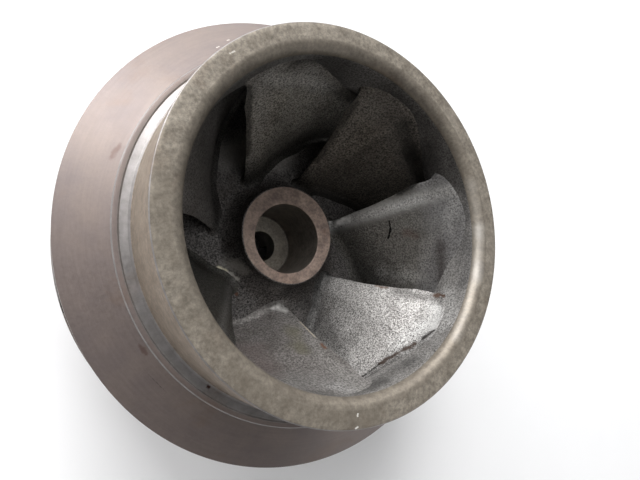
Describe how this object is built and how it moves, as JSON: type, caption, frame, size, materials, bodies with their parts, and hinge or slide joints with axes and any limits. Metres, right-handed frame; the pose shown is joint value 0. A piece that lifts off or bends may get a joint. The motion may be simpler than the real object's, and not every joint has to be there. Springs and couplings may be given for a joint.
{
  "type": "pump impeller",
  "caption": "Closed centrifugal pump impeller with twisted vanes between a flat back shroud and a conical front shroud with a turned eye ring.",
  "frame": {"origin": "centre of the hub's back end, which is also the middle of the part's lowest plane", "axes": "+Z along the shaft axis towards the eye; +X through the keyway"},
  "size_m": [0.134, 0.134, 0.0894],
  "materials": {
    "cast_iron": "as cast, dark, rough, used",
    "turned_iron": "turned, dulled and lightly stained by use"
  },
  "bodies": {
    "root": {"back_shroud": "cast_iron", "eye_ring": "turned_iron", "front_shroud": "turned_iron", "hub": "turned_iron", "vane_1": "cast_iron", "vane_2": "cast_iron", "vane_3": "cast_iron", "vane_4": "cast_iron", "vane_5": "cast_iron", "vane_6": "cast_iron", "vane_7": "cast_iron"}
  },
  "joints": []
}
